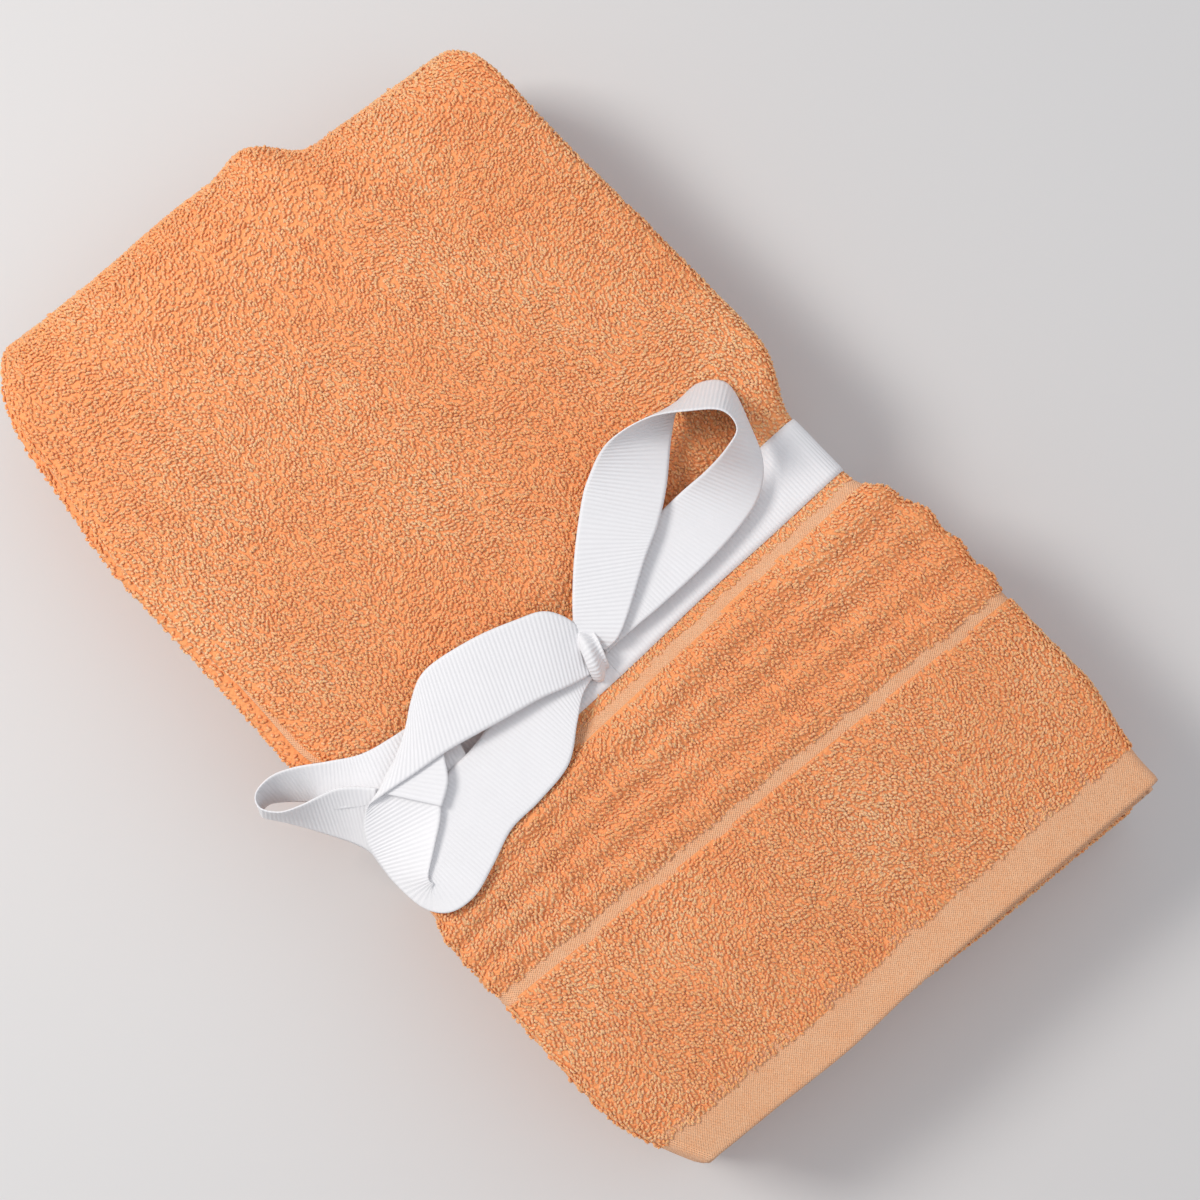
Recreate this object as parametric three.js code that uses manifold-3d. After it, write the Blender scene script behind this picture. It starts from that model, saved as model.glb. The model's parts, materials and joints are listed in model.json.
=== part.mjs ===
// A bath towel set: a bath towel folded in four each way, with a hand towel and a washcloth
// laid between its folds, tied across the middle with a grosgrain ribbon and a bow.
// Millimetres. +X runs along the bundle towards the bath towel's hem, +Y towards its long fold,
// +Z up. The origin is the middle of the face that the bundle rests on.

import * as THREE from "three";
import { mergeVertices } from "three/addons/utils/BufferGeometryUtils.js";
import Module from "manifold-3d";

const wasm = await Module();
wasm.setup();

// ---- driving dimensions ---------------------------------------------------------------

const gap = 0.3; // clearance between pieces that lie against each other

// bath towel
const bundleLength = 330; // a quarter of the bath towel's length
const bundleWidth = 190; // a quarter of its width
const layer = 2.8; // one thickness of bath-weight terry, pile on both faces
const layersPerLevel = 4; // the width is folded in half twice
const hemWidth = 12.8;
const hemSetBack = 2; // the folded ends beneath reach this far past the hem
const stripeWidth = 4.2; // flat woven stripes beside the ribbed band
const stripeDepth = 1.1; // how far the flat weave lies below the pile
const ribbonToStripe = 3.8;
const ribbedLength = 43.6; // raised pile ribs between the two stripes
const ribCount = 4;
const ribDepth = 1.6;
const selvedgeWidth = 2.7;
const skewAtEnds = 0.08; // how far the cloth lies out of square, per mm of width
const selvedgeDrop = 2.1; // the top layer's side edge dips this far below its pile
const selvedgeRound = 1.1;
const edgeRound = 0.42; // radius of a folded long edge, as a share of the thickness folded

// hand towel and washcloth
const handLength = 296;
const handWidth = 135;
const handLayers = 6;
const washLength = 291;
const washWidth = 152;
const washLayers = 2;
const innerLayer = 1.9; // one thickness of the lighter terry
const innerHemWidth = 11;

// ribbon
const ribbonWidth = 22.2; // seven-eighths of an inch
const ribbonThickness = 0.6;
const bandX = 18.2; // middle of the band, along the bundle
const underRoom = 1; // the underside is relieved from this far before the band, so that it lies flush
const knotLength = 15;
const knotWidth = 9;
const knotHeight = 6;
const knotY = -4.5;
const knotRound = 2.7;

// ---- heights and stations worked out from them -----------------------------------------

const level = layer * layersPerLevel;
const lowerTop = 2 * level;
const washBottom = lowerTop + gap;
const washTop = washBottom + innerLayer * washLayers;
const handBottom = washTop + gap;
const handTop = handBottom + innerLayer * handLayers;
const middleBottom = handTop + gap;
const middleTop = middleBottom + level;
const topBottom = middleTop + gap;
const topZ = topBottom + level;

const endRadius = topZ / 2; // the end fold wraps the whole height
const endCentreX = -bundleLength / 2 + endRadius;
const foldX = endCentreX + gap; // every level starts here
const foldReach = bundleLength / 2;
const hemEnd = foldReach - hemSetBack;
const bandEnd = bandX + ribbonWidth / 2;
const stripe1 = bandEnd + ribbonToStripe;
const ribs = stripe1 + stripeWidth + gap;
const stripe2 = ribs + ribbedLength + gap;
const hingeX = stripe2 + stripeWidth;
const flapX = hingeX + gap;
const hemX = hemEnd - hemWidth;
const halfWidth = bundleWidth / 2;
const bandTop = topZ + gap + ribbonThickness;
const relief = ribbonThickness + gap;
const reliefX = bandX - ribbonWidth / 2 - underRoom;

// ---- finishes -------------------------------------------------------------------------

const finish = (color, roughness) => new THREE.MeshStandardMaterial({ color, roughness, metalness: 0 });
const pile = finish(0xeca06c, 1);
const flatWeave = finish(0xf8bd92, 0.85);
const grosgrain = finish(0xf4f2f3, 0.6);

// ---- geometry helpers -----------------------------------------------------------------

function solidOf(geometry) {
  const bare = geometry.index ? geometry.toNonIndexed() : geometry.clone();
  bare.deleteAttribute("normal");
  bare.deleteAttribute("uv");
  const merged = mergeVertices(bare, 1e-4);
  return new wasm.Manifold(
    new wasm.Mesh({
      numProp: 3,
      vertProperties: new Float32Array(merged.attributes.position.array),
      triVerts: new Uint32Array(merged.index.array),
    }),
  );
}

function geometryOf(solid) {
  const mesh = solid.getMesh();
  const geometry = new THREE.BufferGeometry();
  geometry.setAttribute("position", new THREE.BufferAttribute(new Float32Array(mesh.vertProperties), 3));
  geometry.setIndex(Array.from(mesh.triVerts));
  return geometry;
}

// The cloth is square to the ribbon where it is tied, and drifts out of square towards both ends.
function skewAt(x) {
  if (x < bandX) {
    return (skewAtEnds * (bandX - x)) / (bandX + foldReach);
  }
  const ramp = (x - stripe1) / (stripe2 - stripe1);
  return skewAtEnds * THREE.MathUtils.clamp(ramp, 0, 1);
}

function skewed(geometry) {
  const p = geometry.attributes.position;
  for (let i = 0; i < p.count; i++) {
    p.setX(i, p.getX(i) + p.getY(i) * skewAt(p.getX(i)));
  }
  p.needsUpdate = true;
  return geometry;
}

function roundedRect(x0, x1, y0, y1, radius) {
  const shape = new THREE.Shape();
  shape.moveTo(x0 + radius, y0);
  shape.lineTo(x1 - radius, y0);
  shape.absarc(x1 - radius, y0 + radius, radius, -Math.PI / 2, 0, false);
  shape.lineTo(x1, y1 - radius);
  shape.absarc(x1 - radius, y1 - radius, radius, 0, Math.PI / 2, false);
  shape.lineTo(x0 + radius, y1);
  shape.absarc(x0 + radius, y1 - radius, radius, Math.PI / 2, Math.PI, false);
  shape.lineTo(x0, y0 + radius);
  shape.absarc(x0 + radius, y0 + radius, radius, Math.PI, 1.5 * Math.PI, false);
  return shape;
}

// A shape drawn in (Y, Z), carried along X.
function alongX(shape, x0, x1, curveSegments = 5) {
  const geometry = new THREE.ExtrudeGeometry(shape, { depth: x1 - x0, bevelEnabled: false, curveSegments });
  const basis = new THREE.Matrix4().set(0, 0, 1, x0, 1, 0, 0, 0, 0, 1, 0, 0, 0, 0, 0, 1);
  return geometry.applyMatrix4(basis);
}

// A shape drawn in (X, Z), carried along Y.
function alongY(shape, y0, y1, curveSegments = 8) {
  const geometry = new THREE.ExtrudeGeometry(shape, { depth: y1 - y0, bevelEnabled: false, curveSegments });
  const basis = new THREE.Matrix4().set(1, 0, 0, 0, 0, 0, -1, y1, 0, 1, 0, 0, 0, 0, 0, 1);
  return geometry.applyMatrix4(basis);
}

function rect(x0, x1, z0, z1) {
  return new THREE.Shape([
    new THREE.Vector2(x0, z0),
    new THREE.Vector2(x1, z0),
    new THREE.Vector2(x1, z1),
    new THREE.Vector2(x0, z1),
  ]);
}

// A length of folded towel: rounded along both long edges, and cut to an outline in (X, Z).
function towelBlock(profile, y0, y1, z0, z1, edge) {
  const bounds = new THREE.Box2().setFromPoints(profile.getPoints(8));
  const rounded = alongX(roundedRect(y0, y1, z0, z1, edge), bounds.min.x - 1, bounds.max.x + 1);
  const outline = alongY(profile, y0 - 1, y1 + 1);
  return skewed(geometryOf(solidOf(rounded).intersect(solidOf(outline))));
}

// A woven ribbon's solid: a thin slab between two edge lines, each a smooth curve through its points.
function ribbonStrip(edgeA, edgeB, steps) {
  const curveA = new THREE.CatmullRomCurve3(edgeA.map((p) => new THREE.Vector3(...p)));
  const curveB = new THREE.CatmullRomCurve3(edgeB.map((p) => new THREE.Vector3(...p)));
  const position = [];
  const index = [];
  for (let i = 0; i <= steps; i++) {
    const a = curveA.getPoint(i / steps);
    const b = curveB.getPoint(i / steps);
    const tangent = curveA.getTangent(i / steps).add(curveB.getTangent(i / steps));
    const normal = tangent.cross(b.clone().sub(a)).setLength(ribbonThickness / 2);
    const above = [a.clone().add(normal), b.clone().add(normal)];
    const below = [b.clone().sub(normal), a.clone().sub(normal)];
    [...above, ...below].forEach((corner) => position.push(corner.x, corner.y, corner.z));
  }
  for (let i = 0; i < steps; i++) {
    for (let side = 0; side < 4; side++) {
      const here = 4 * i + side;
      const next = 4 * i + ((side + 1) % 4);
      index.push(here, here + 4, next, next, here + 4, next + 4);
    }
  }
  const last = 4 * steps;
  index.push(0, 1, 2, 0, 2, 3, last, last + 2, last + 1, last, last + 3, last + 2);
  const geometry = new THREE.BufferGeometry();
  geometry.setAttribute("position", new THREE.BufferAttribute(new Float32Array(position), 3));
  geometry.setIndex(index);
  return outward(geometry);
}

// Turns a closed mesh's faces outwards if they point in.
function outward(geometry) {
  const p = geometry.attributes.position;
  const index = Array.from(geometry.index.array);
  let volume = 0;
  for (let i = 0; i < index.length; i += 3) {
    const [a, b, c] = [0, 1, 2].map((k) => new THREE.Vector3().fromBufferAttribute(p, index[i + k]));
    volume += a.dot(b.cross(c));
  }
  if (volume < 0) {
    geometry.setIndex(index.reverse());
  }
  return geometry;
}

const towelSet = new THREE.Group();

function addPiece(parent, name, geometry, material) {
  const mesh = new THREE.Mesh(geometry, material);
  mesh.name = name;
  parent.add(mesh);
}

// ---- bath towel -----------------------------------------------------------------------

const bathTowel = new THREE.Group();
towelSet.add(bathTowel);

const longEdge = level * edgeRound;
const lip = halfWidth - selvedgeWidth - gap; // where the pile stops and the selvedge starts

// The two lowest levels turn over into each other at the hem end. From the band to that end the
// underside is relieved by the ribbon's thickness, which is where the ribbon is drawn off.
function lowerHalf() {
  const radius = (lowerTop - relief) / 2;
  const shape = new THREE.Shape();
  shape.moveTo(foldX, 0);
  shape.lineTo(reliefX, 0);
  shape.lineTo(reliefX, relief);
  shape.lineTo(foldReach - radius, relief);
  shape.absarc(foldReach - radius, relief + radius, radius, -Math.PI / 2, Math.PI / 2, false);
  shape.lineTo(foldX, lowerTop);
  return towelBlock(shape, -halfWidth, halfWidth, 0, lowerTop, longEdge);
}

// All the levels wrap round the inner towels at the other end, one within another.
function endFold() {
  const inner = (middleBottom - washBottom) / 2 + gap;
  const shape = new THREE.Shape();
  shape.moveTo(endCentreX, 0);
  shape.lineTo(endCentreX, endRadius - inner);
  shape.absarc(endCentreX, endRadius, inner, -Math.PI / 2, Math.PI / 2, true);
  shape.lineTo(endCentreX, topZ);
  shape.absarc(endCentreX, endRadius, endRadius, Math.PI / 2, 1.5 * Math.PI, false);
  return towelBlock(shape, -halfWidth, halfWidth, 0, topZ, longEdge);
}

function middlePanel() {
  const shape = rect(foldX, hemX - hemSetBack - gap, middleBottom, middleTop);
  return towelBlock(shape, -halfWidth, halfWidth, middleBottom, middleTop, longEdge);
}

function middleHem() {
  const shape = rect(hemX - hemSetBack, hemEnd - hemSetBack, middleBottom, middleTop);
  return towelBlock(shape, -halfWidth, halfWidth, middleBottom, middleTop, longEdge);
}

// A length of the top level, lowered by drop where the weave is flat.
function topLength(x0, x1, drop) {
  const shape = rect(x0, x1, topBottom, topZ - drop);
  return towelBlock(shape, -lip, halfWidth - drop, topBottom, topZ - drop, longEdge);
}

// The ribbed band: soft ribs across the towel, with a valley at each end.
function ribbedBand() {
  const steps = ribCount * 8;
  const points = [new THREE.Vector2(ribs, topBottom)];
  for (let i = 0; i <= steps; i++) {
    const wave = 0.5 + 0.5 * Math.cos((2 * Math.PI * ribCount * i) / steps);
    points.push(new THREE.Vector2(ribs + (ribbedLength * i) / steps, topZ - ribDepth * wave));
  }
  points.push(new THREE.Vector2(ribs + ribbedLength, topBottom));
  return towelBlock(new THREE.Shape(points), -lip, halfWidth, topBottom, topZ, longEdge);
}

// The finished side edge of the top layer.
function selvedge(x0, x1) {
  const z1 = topZ - selvedgeDrop;
  const shape = rect(x0, x1, z1 - layer, z1);
  return towelBlock(shape, -halfWidth, -lip - gap, z1 - layer, z1, selvedgeRound);
}

addPiece(bathTowel, "bath_towel_lower_half", lowerHalf(), pile);
addPiece(bathTowel, "bath_towel_end_fold", endFold(), pile);
addPiece(bathTowel, "bath_towel_middle_panel", middlePanel(), pile);
addPiece(bathTowel, "bath_towel_middle_hem", middleHem(), flatWeave);
addPiece(bathTowel, "bath_towel_top_panel", topLength(foldX, stripe1 - gap, 0), pile);
const nearStripe = topLength(stripe1, stripe1 + stripeWidth, stripeDepth);
addPiece(bathTowel, "woven_stripe_near_ribbon", nearStripe, flatWeave);
addPiece(bathTowel, "ribbed_pile_band", ribbedBand(), pile);
addPiece(bathTowel, "woven_stripe_near_hem", topLength(stripe2, hingeX, stripeDepth), flatWeave);
addPiece(bathTowel, "top_selvedge", selvedge(foldX, hingeX), flatWeave);

// The end of the top level, which lifts along the second woven stripe.
const hemFlap = new THREE.Group();
bathTowel.add(hemFlap);
addPiece(hemFlap, "hem_flap_panel", topLength(flapX, hemX - gap, 0), pile);
addPiece(hemFlap, "hem_flap_hem", topLength(hemX, hemEnd, stripeDepth), flatWeave);
addPiece(hemFlap, "hem_flap_selvedge", selvedge(flapX, hemX - gap), flatWeave);

// ---- hand towel and washcloth ----------------------------------------------------------

function innerTowel(name, length, width, z0, z1) {
  const group = new THREE.Group();
  const start = foldX;
  const end = start + length;
  const hem = end - innerHemWidth;
  const body = rect(start, hem - gap, z0, z1);
  const edge = (z1 - z0) * edgeRound;
  addPiece(group, `${name}_body`, towelBlock(body, -width / 2, width / 2, z0, z1, edge), pile);
  const border = rect(hem, end, z0, z1);
  addPiece(group, `${name}_hem`, towelBlock(border, -width / 2, width / 2, z0, z1, edge), flatWeave);
  return group;
}

towelSet.add(innerTowel("hand_towel", handLength, handWidth, handBottom, handTop));
towelSet.add(innerTowel("washcloth", washLength, washWidth, washBottom, washTop));

// ---- ribbon ---------------------------------------------------------------------------

const ribbon = new THREE.Group();
towelSet.add(ribbon);

// The band goes once round the bundle, with room to slide along it: four straight runs.
const innerSide = halfWidth + gap;
const outerSide = innerSide + ribbonThickness;

function bandRun(y0, y1, z0, z1) {
  return alongX(rect(y0, y1, z0, z1), bandX - ribbonWidth / 2, bandEnd);
}

const bandRuns = {
  top: bandRun(-outerSide, outerSide, topZ + gap, bandTop),
  underside: bandRun(-outerSide, outerSide, 0, ribbonThickness),
  far_side: bandRun(innerSide, outerSide, ribbonThickness + gap, topZ),
  near_side: bandRun(-outerSide, -innerSide, ribbonThickness + gap, topZ),
};

// The knot is a short wrap of ribbon pulled tight over the band.
function knot() {
  const bottom = bandTop + gap;
  const left = bandX - knotLength / 2;
  const shape = roundedRect(left, left + knotLength, bottom, bottom + knotHeight, knotRound);
  return alongY(shape, knotY - knotWidth / 2, knotY + knotWidth / 2, 6);
}

// The bow's edge points are chosen by hand, each pair about a ribbon's width apart: x from the
// middle of the band, y from the knot or past the towel's near edge, and height over the band.
const farOfKnot = (x, y, h) => [bandX + x, knotY + knotWidth / 2 + y, bandTop + h];
const nearOfKnot = (x, y, h) => [bandX + x, knotY - knotWidth / 2 - y, bandTop + h];
const atEdge = (x, past, h) => [bandX + x, -halfWidth - past, bandTop + h];

// The far loop stands open on one edge and leans towards the end fold.
const farLoopUpper = [
  farOfKnot(-6.2, 1.5, 4),
  farOfKnot(-23.2, 12, 6),
  farOfKnot(-37.2, 28, 8),
  farOfKnot(-42.2, 42, 12),
  farOfKnot(-38.2, 57, 18),
  farOfKnot(-30.2, 67, 21),
  farOfKnot(-22.2, 71, 22),
  farOfKnot(-16.2, 66, 20),
  farOfKnot(-14.2, 54, 16),
  farOfKnot(-12.2, 38, 12),
  farOfKnot(-6.2, 18, 8),
  farOfKnot(-2.2, 3, 5),
];
const farLoopLower = [
  farOfKnot(-0.2, 1.5, 2.5),
  farOfKnot(-6.2, 18, 1.5),
  farOfKnot(-17.2, 36, 1),
  farOfKnot(-22.2, 47, 0.8),
  farOfKnot(-30.2, 61, 0.8),
  farOfKnot(-35.2, 73, 0.8),
  farOfKnot(-26.2, 80, 0.8),
  farOfKnot(-9.2, 72, 0.8),
  farOfKnot(2.8, 59, 0.8),
  farOfKnot(6.8, 37, 0.8),
  farOfKnot(6.8, 17, 1),
  farOfKnot(3.8, 3, 2.5),
];

// The near loop runs out flat, turns under on a slant at the towel's edge, and comes back below itself.
const nearLoopLeft = [
  nearOfKnot(-5.2, 1.5, 5),
  nearOfKnot(-17.2, 6, 12),
  nearOfKnot(-24.2, 23, 12),
  nearOfKnot(-29.2, 39, 10),
  atEdge(-30.2, -41, 6),
  atEdge(-24.2, -35, 4),
  atEdge(-10.2, -27, 3.6),
  atEdge(3.8, -17, 3.6),
  atEdge(15.8, -3, 3.4),
  atEdge(21.8, 0, 3.2),
  atEdge(19.8, -7, 3),
  atEdge(6.8, -26, 3),
  nearOfKnot(0.8, 41, 2.6),
  nearOfKnot(-2.2, 21, 2),
  nearOfKnot(-3.2, 2, 1.8),
];
const nearLoopRight = [
  nearOfKnot(3.8, 1.5, 5),
  nearOfKnot(4.8, 13, 8.5),
  nearOfKnot(-0.2, 31, 8),
  atEdge(-4.2, -33, 7.5),
  atEdge(-10.2, -13, 6),
  atEdge(-12.2, -5, 3),
  atEdge(-7.2, 2.5, 1.2),
  atEdge(-0.2, 4.5, 1),
  atEdge(9.8, 6, 1),
  atEdge(19.8, 5, 1.4),
  atEdge(27.8, -7, 2.4),
  atEdge(27.8, -25, 2.6),
  nearOfKnot(22.8, 39, 2.2),
  nearOfKnot(14.8, 17, 1.8),
  nearOfKnot(4.8, 2, 1.6),
];

// The side loop lies out over the towel's edge, below the near loop.
const sideLoopUpper = [
  atEdge(-20.2, -35, 1.4),
  atEdge(-23.2, -21, 1.6),
  atEdge(-29.2, -8, 1.6),
  atEdge(-35.2, 2, 0),
  atEdge(-36.2, 10, -3),
  atEdge(-31.2, 14, -4),
  atEdge(-25.2, 9.5, -2.5),
  atEdge(-20.2, 5.5, -2.5),
  atEdge(-15.2, 3, -4),
];
const sideLoopLower = [
  atEdge(-2.2, -29, 1.2),
  atEdge(-10.2, -15, 0.8),
  atEdge(-19.2, -5, 0.9),
  atEdge(-28.2, 5, -5),
  atEdge(-32.2, 11.5, -11),
  atEdge(-29.2, 16, -14),
  atEdge(-21.2, 15, -15),
  atEdge(-14.2, 12, -16),
  atEdge(-8.2, 9, -17),
];

// The cut end of the ribbon is tucked in between the near loop's two layers.
const tailLeft = [atEdge(-16.2, -23, 4.6), atEdge(-10.2, -17, 4.6), atEdge(-4.2, -9, 4.4)];
const tailRight = [atEdge(-6.2, -33, 4.6), atEdge(-0.2, -27, 4.6), atEdge(5.8, -19, 4.4)];

for (const [run, geometry] of Object.entries(bandRuns)) {
  addPiece(ribbon, `ribbon_band_${run}`, geometry, grosgrain);
}
addPiece(ribbon, "ribbon_knot", knot(), grosgrain);

const farBow = new THREE.Group();
ribbon.add(farBow);
addPiece(farBow, "bow_loop_far", ribbonStrip(farLoopUpper, farLoopLower, 44), grosgrain);

const nearBow = new THREE.Group();
ribbon.add(nearBow);
addPiece(nearBow, "bow_loop_near", ribbonStrip(nearLoopLeft, nearLoopRight, 56), grosgrain);
addPiece(nearBow, "bow_loop_side", ribbonStrip(sideLoopUpper, sideLoopLower, 32), grosgrain);
addPiece(nearBow, "ribbon_tail", ribbonStrip(tailLeft, tailRight, 6), grosgrain);

export default towelSet;
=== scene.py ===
import functools
import json
import math

import bpy
import numpy as np
from mathutils import Matrix, Vector


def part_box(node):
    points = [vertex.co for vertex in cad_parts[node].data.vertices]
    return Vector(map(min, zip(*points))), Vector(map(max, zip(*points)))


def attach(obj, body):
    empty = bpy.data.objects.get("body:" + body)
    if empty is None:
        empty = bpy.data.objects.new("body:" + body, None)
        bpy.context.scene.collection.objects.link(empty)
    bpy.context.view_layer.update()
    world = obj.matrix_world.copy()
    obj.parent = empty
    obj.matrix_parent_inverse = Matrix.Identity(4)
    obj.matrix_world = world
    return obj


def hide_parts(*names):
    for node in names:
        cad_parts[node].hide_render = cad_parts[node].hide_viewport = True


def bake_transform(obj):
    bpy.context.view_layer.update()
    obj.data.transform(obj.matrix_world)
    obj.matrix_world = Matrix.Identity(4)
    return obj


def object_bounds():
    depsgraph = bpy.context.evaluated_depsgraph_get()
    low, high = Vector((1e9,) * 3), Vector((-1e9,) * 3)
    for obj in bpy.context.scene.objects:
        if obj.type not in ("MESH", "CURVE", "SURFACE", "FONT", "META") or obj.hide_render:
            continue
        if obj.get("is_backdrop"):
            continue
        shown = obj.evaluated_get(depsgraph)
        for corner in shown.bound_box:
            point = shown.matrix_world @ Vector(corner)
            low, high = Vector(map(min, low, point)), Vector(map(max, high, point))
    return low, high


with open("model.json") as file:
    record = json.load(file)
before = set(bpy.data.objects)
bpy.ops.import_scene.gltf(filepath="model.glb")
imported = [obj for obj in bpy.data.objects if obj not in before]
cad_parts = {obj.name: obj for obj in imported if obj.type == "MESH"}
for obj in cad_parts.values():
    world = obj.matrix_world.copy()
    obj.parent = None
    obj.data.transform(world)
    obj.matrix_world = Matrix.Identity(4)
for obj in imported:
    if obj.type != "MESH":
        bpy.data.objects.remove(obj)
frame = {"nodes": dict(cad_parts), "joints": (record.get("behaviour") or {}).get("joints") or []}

bl_info = {
    "name": "Bath towel set",
    "version": (1, 0, 0),
    "blender": (4, 5, 0),
    "location": "View3D > Sidebar > Towels",
    "description": "A folded terry bath towel set tied with a grosgrain ribbon",
    "category": "Add Mesh",
}

CAD_BOX = [[float(v) for v in corner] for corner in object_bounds()]
MM = 0.001
TAU = 2 * math.pi

# ---- heights and stations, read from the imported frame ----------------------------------


def middle(node, axis):
    """Halfway between a node's lowest and highest corner along one axis."""
    low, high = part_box(node)
    return 0.5 * (low[axis] + high[axis])


def extent(node, axis):
    """A node's lowest and highest place along one axis."""
    low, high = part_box(node)
    return low[axis], high[axis]


TOP = extent("bath_towel_top_panel", 2)[1]
LEVEL = TOP - extent("bath_towel_top_panel", 2)[0]
MIDDLE_Z = middle("bath_towel_middle_panel", 2)
HALF = extent("bath_towel_lower_half", 1)[1]
SKEW = 0.08  # how far the cloth lies out of square at its ends, per unit of width
REACH = CAD_BOX[1][0] - SKEW * HALF
END_CENTRE = TOP / 2 - REACH
BAND_X = middle("ribbon_band_top", 0)
BAND_HALF = extent("ribbon_band_top", 0)[1] - BAND_X
BAND_TOP = extent("ribbon_band_top", 2)[1]
KNOT_Y = middle("ribbon_knot", 1)
STRIPE_1 = middle("woven_stripe_near_ribbon", 0)
STRIPE_2 = middle("woven_stripe_near_hem", 0)
HEM_X = middle("hem_flap_hem", 0)
HINGE = next(joint for joint in frame["joints"] if joint["name"] == "hem_flap_lift")
HINGE_X = HINGE["pos_m"][0]


# ---- settings --------------------------------------------------------------------------


def length(name, text, default):
    """A length property, in metres."""
    return bpy.props.FloatProperty(name=name, description=text, default=default, unit="LENGTH", precision=5)


def colour(name, text, default):
    """A colour property, linear RGB."""
    return bpy.props.FloatVectorProperty(name=name, description=text, default=default, subtype="COLOR",
                                         size=3, min=0.0, max=1.0)


def group_of(kind, name, text):
    """A property that holds a group of other properties."""
    return bpy.props.PointerProperty(type=kind, name=name, description=text)


class TowelSettings(bpy.types.PropertyGroup):
    bath_width: length("Bath towel width", "Width of the bath towel laid flat", 0.762)
    bath_length: length("Bath towel length", "Length of the bath towel laid flat", 1.321)
    layer: length("Layer", "Thickness that one layer takes up in the fold", LEVEL / 4)
    cloth: length("Cloth", "Thickness of the woven ground between its loops", 2.1 * MM)
    hem: length("Hem", "Width of the flat woven hem", 12.8 * MM)
    stripe: length("Stripe", "Width of each flat woven stripe", 4.2 * MM)
    selvedge: length("Selvedge", "Width of the smooth edge down each side", 2.6 * MM)
    rib_height: length("Rib height", "How far the ribbed pile stands over its valleys", 1.5 * MM)
    ribs: bpy.props.IntProperty(name="Ribs", description="Raised ribs between the stripes", default=4)
    loop_gap: length("Loop spacing", "Distance between neighbouring loops", 1.12 * MM)
    loop_length: length("Loop length", "Length of a terry loop as it lies", 1.85 * MM)
    loop_width: length("Loop width", "Thickness of the yarn pair in a loop", 0.88 * MM)
    loop_height: length("Loop height", "How far a loop stands over the ground", 0.6 * MM)


class InnerSettings(bpy.types.PropertyGroup):
    hand_width: length("Hand towel width", "Width of the hand towel laid flat", 0.406)
    hand_length: length("Hand towel length", "Length of the hand towel laid flat", 0.61)
    wash_size: length("Washcloth side", "Each side of the washcloth laid flat", 0.305)


class RibbonSettings(bpy.types.PropertyGroup):
    width: length("Width", "Width of the ribbon", 2 * BAND_HALF)
    thickness: length("Thickness", "Thickness between the ribs", 0.34 * MM)
    rib_pitch: length("Rib pitch", "Distance between neighbouring ribs", 1.28 * MM)
    rib_height: length("Rib height", "How far a rib stands out of each face", 0.17 * MM)
    edge: length("Edge", "Width of the plain edge on each side", 0.9 * MM)


class ColourSettings(bpy.types.PropertyGroup):
    # The darker pile colour below is painted shade: it stands for the shade that falls low on the loops and
    # on the ground between them.
    pile_shade: colour("Deep pile", "Pile colour between the loops", (0.93, 0.385, 0.15))
    pile: colour("Pile", "Pile colour on the loops", (0.98, 0.395, 0.16))
    # The pale pile colour is painted light: patches where the nap would lie towards the light are painted
    # paler.
    pale: colour("Pale pile", "Where the nap lies towards the light", (1.0, 0.56, 0.30))
    weave: colour("Flat weave", "Hem, stripes and selvedges", (1.0, 0.60, 0.36))
    ribbon: colour("Ribbon", "Grosgrain ribbon", (0.88, 0.87, 0.885))
    floor: colour("Floor", "Plain floor", (0.68, 0.67, 0.665))


class TowelSetSettings(bpy.types.PropertyGroup):
    towel: group_of(TowelSettings, "Towel", "Sizes of the towels")
    inner: group_of(InnerSettings, "Inner towels", "Sizes of the two inside")
    ribbon: group_of(RibbonSettings, "Ribbon", "Sizes of the ribbon")
    colours: group_of(ColourSettings, "Colours", "Colours of every finish")


def settings():
    """The settings kept on the scene."""
    return bpy.context.scene.towel_set


# ---- smooth fields ---------------------------------------------------------------------


def bump(x, centre, width):
    """A bell curve of height one."""
    return np.exp(-(((x - centre) / width) ** 2))


def ease(x, start, end):
    """Rises smoothly from nought at start to one at end."""
    t = np.clip((x - start) / (end - start), 0, 1)
    return t * t * (3 - 2 * t)


def soft_noise(points, size, seed):
    """Smooth noise between -1 and 1: random numbers on a lattice of the given size, blended by smoothstep."""
    side, away = 32, 1000.0
    table = np.random.default_rng(seed).uniform(-1, 1, (side, side, side))
    scaled = np.asarray(points) / size + away
    cell = np.floor(scaled).astype(int)
    t = scaled - cell
    t = t * t * (3 - 2 * t)
    total = np.zeros(scaled.shape[:-1])
    for corner in np.ndindex(2, 2, 2):
        weight = np.prod(np.where(np.array(corner) == 1, t, 1 - t), axis=-1)
        i, j, k = ((cell[..., axis] + corner[axis]) % side for axis in range(3))
        total += weight * table[i, j, k]
    return total


def unit(v):
    """Vectors scaled to length one."""
    return v / np.maximum(np.linalg.norm(v, axis=-1, keepdims=True), 1e-12)


# ---- meshes ----------------------------------------------------------------------------


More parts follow.
